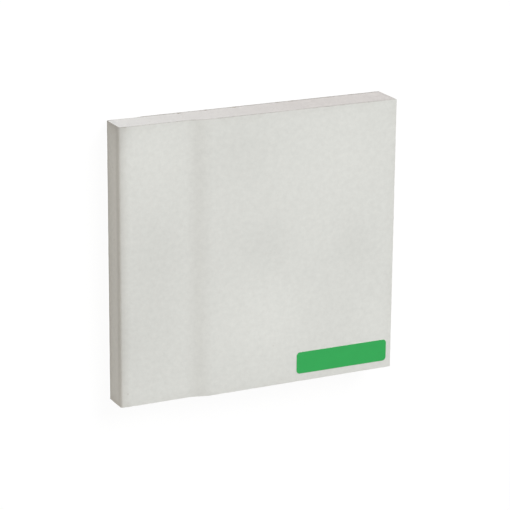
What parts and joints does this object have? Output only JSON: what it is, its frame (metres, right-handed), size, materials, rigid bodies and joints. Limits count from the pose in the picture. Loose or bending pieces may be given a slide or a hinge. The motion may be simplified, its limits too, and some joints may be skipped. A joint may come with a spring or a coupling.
{
  "type": "drywall sheet",
  "caption": "Flat cut piece of drywall with a gypsum core, a face paper wrapped round its tapered edge, a back paper and a blank green label.",
  "frame": {"origin": "centre of the underside, level with the floor that the sheet lies on", "axes": "+X from the paper-bound tapered edge to the cut edge opposite, +Y along the bound edge, +Z out of the face"},
  "size_m": [0.1, 0.095, 0.0126],
  "materials": {
    "gypsum": "matt pinkish white cast gypsum, with fine pores and crumbs on the cut faces",
    "face_paper": "matt pale grey-green paper with a faint fibre mottle",
    "back_paper": "matt grey-brown recycled paper",
    "label": "satin green sticker, blank"
  },
  "bodies": {
    "root": {"gypsum_core": "gypsum", "face_paper": "face_paper", "back_paper": "back_paper", "label": "label"}
  },
  "joints": []
}
